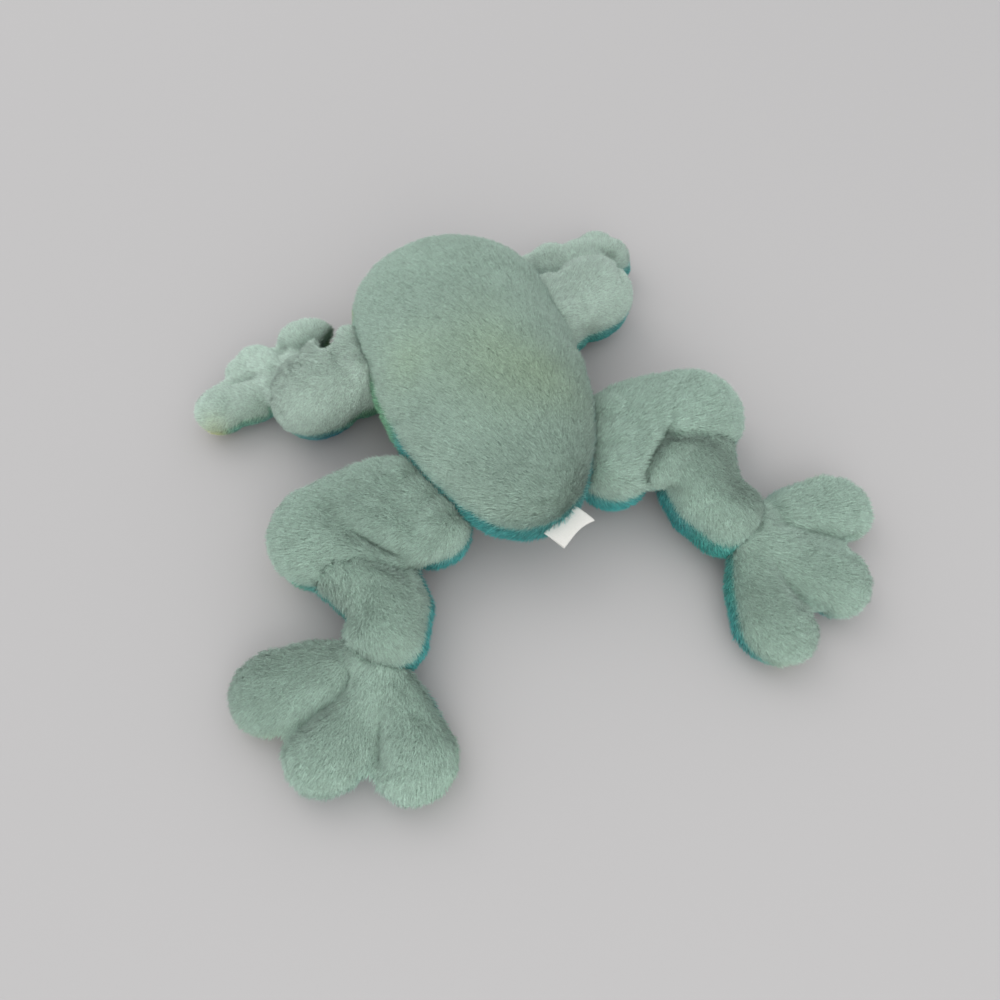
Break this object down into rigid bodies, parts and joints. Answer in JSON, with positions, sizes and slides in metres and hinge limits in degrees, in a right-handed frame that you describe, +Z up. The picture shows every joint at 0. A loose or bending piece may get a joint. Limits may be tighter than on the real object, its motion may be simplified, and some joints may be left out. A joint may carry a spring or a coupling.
{
  "type": "plush frog",
  "caption": "Floppy stuffed plush frog lying on its back, with folded jointed arms and legs, webbed toes and plastic eyes.",
  "frame": {"origin": "on the floor, under the middle of the box round the toy as it lies", "axes": "+Z up, out of the frog's belly; +Y from its rump towards its head; +X towards the frog's own left side"},
  "size_m": [0.4232, 0.3706, 0.09],
  "materials": {
    "pale_plush": "pale mint short-pile plush, fuzzy and matte, with a soft nap",
    "dyed_plush": "short-pile plush dyed in soft patches of teal, blue, green and yellow-green",
    "fibre_filling": "white polyester fibre filling",
    "eye_plastic": "glossy black moulded plastic",
    "washer_plastic": "plain off-white moulded plastic",
    "satin_tape": "thin white woven satin tape, bare"
  },
  "bodies": {
    "body": {"body_belly_panel": "pale_plush", "body_back_panel": "dyed_plush", "body_filling": "fibre_filling", "care_label": "satin_tape", "right_eye_mound": "dyed_plush", "right_eye_mound_filling": "fibre_filling", "right_eye": "eye_plastic", "right_eye_washer": "washer_plastic", "left_eye_mound": "dyed_plush", "left_eye_mound_filling": "fibre_filling", "left_eye": "eye_plastic", "left_eye_washer": "washer_plastic"},
    "right_upper_arm": {"right_upper_arm_belly_panel": "pale_plush", "right_upper_arm_back_panel": "dyed_plush", "right_upper_arm_filling": "fibre_filling"},
    "right_hand": {"right_hand_belly_panel": "pale_plush", "right_hand_back_panel": "dyed_plush", "right_hand_filling": "fibre_filling"},
    "right_thigh": {"right_thigh_belly_panel": "pale_plush", "right_thigh_back_panel": "dyed_plush", "right_thigh_filling": "fibre_filling"},
    "right_calf": {"right_calf_belly_panel": "pale_plush", "right_calf_back_panel": "dyed_plush", "right_calf_filling": "fibre_filling"},
    "right_foot": {"right_foot_belly_panel": "pale_plush", "right_foot_back_panel": "dyed_plush", "right_foot_filling": "fibre_filling"},
    "left_upper_arm": {"left_upper_arm_belly_panel": "pale_plush", "left_upper_arm_back_panel": "dyed_plush", "left_upper_arm_filling": "fibre_filling"},
    "left_hand": {"left_hand_belly_panel": "pale_plush", "left_hand_back_panel": "dyed_plush", "left_hand_filling": "fibre_filling"},
    "left_thigh": {"left_thigh_belly_panel": "pale_plush", "left_thigh_back_panel": "dyed_plush", "left_thigh_filling": "fibre_filling"},
    "left_calf": {"left_calf_belly_panel": "pale_plush", "left_calf_back_panel": "dyed_plush", "left_calf_filling": "fibre_filling"},
    "left_foot": {"left_foot_belly_panel": "pale_plush", "left_foot_back_panel": "dyed_plush", "left_foot_filling": "fibre_filling"}
  },
  "joints": [
    {"name": "right_shoulder", "type": "hinge", "parent": "body", "child": "right_upper_arm", "pos_m": [-0.07695, 0.10435, 0.045], "axis": [0, 1, 0], "range_deg": [-10, 45]},
    {"name": "right_elbow", "type": "hinge", "parent": "right_upper_arm", "child": "right_hand", "pos_m": [-0.11004, 0.09498, 0.03], "axis": [0, 0, 1], "range_deg": [0, 45]},
    {"name": "right_hip", "type": "hinge", "parent": "body", "child": "right_thigh", "pos_m": [-0.06315, -0.0108, 0.045], "axis": [-0.3751, 0.927, 0], "range_deg": [-10, 45]},
    {"name": "right_knee", "type": "hinge", "parent": "right_thigh", "child": "right_calf", "pos_m": [-0.13051, -0.01212, 0.0285], "axis": [0, 0, -1], "range_deg": [0, 75]},
    {"name": "right_ankle", "type": "hinge", "parent": "right_calf", "child": "right_foot", "pos_m": [-0.11213, -0.08586, 0.0235], "axis": [-0.7071, 0.7071, 0], "range_deg": [-10, 40]},
    {"name": "left_shoulder", "type": "hinge", "parent": "body", "child": "left_upper_arm", "pos_m": [0.06985, 0.10435, 0.045], "axis": [0, -1, 0], "range_deg": [-10, 45]},
    {"name": "left_elbow", "type": "hinge", "parent": "left_upper_arm", "child": "left_hand", "pos_m": [0.10373, 0.11025, 0.03], "axis": [0, 0, -1], "range_deg": [0, 45]},
    {"name": "left_hip", "type": "hinge", "parent": "body", "child": "left_thigh", "pos_m": [0.05604, -0.0108, 0.045], "axis": [-0.3751, -0.927, 0], "range_deg": [-10, 45]},
    {"name": "left_knee", "type": "hinge", "parent": "left_thigh", "child": "left_calf", "pos_m": [0.1234, -0.00978, 0.0285], "axis": [0, 0, 1], "range_deg": [0, 75]},
    {"name": "left_ankle", "type": "hinge", "parent": "left_calf", "child": "left_foot", "pos_m": [0.11414, -0.08522, 0.0235], "axis": [-0.788, -0.6157, 0], "range_deg": [-10, 40]}
  ]
}
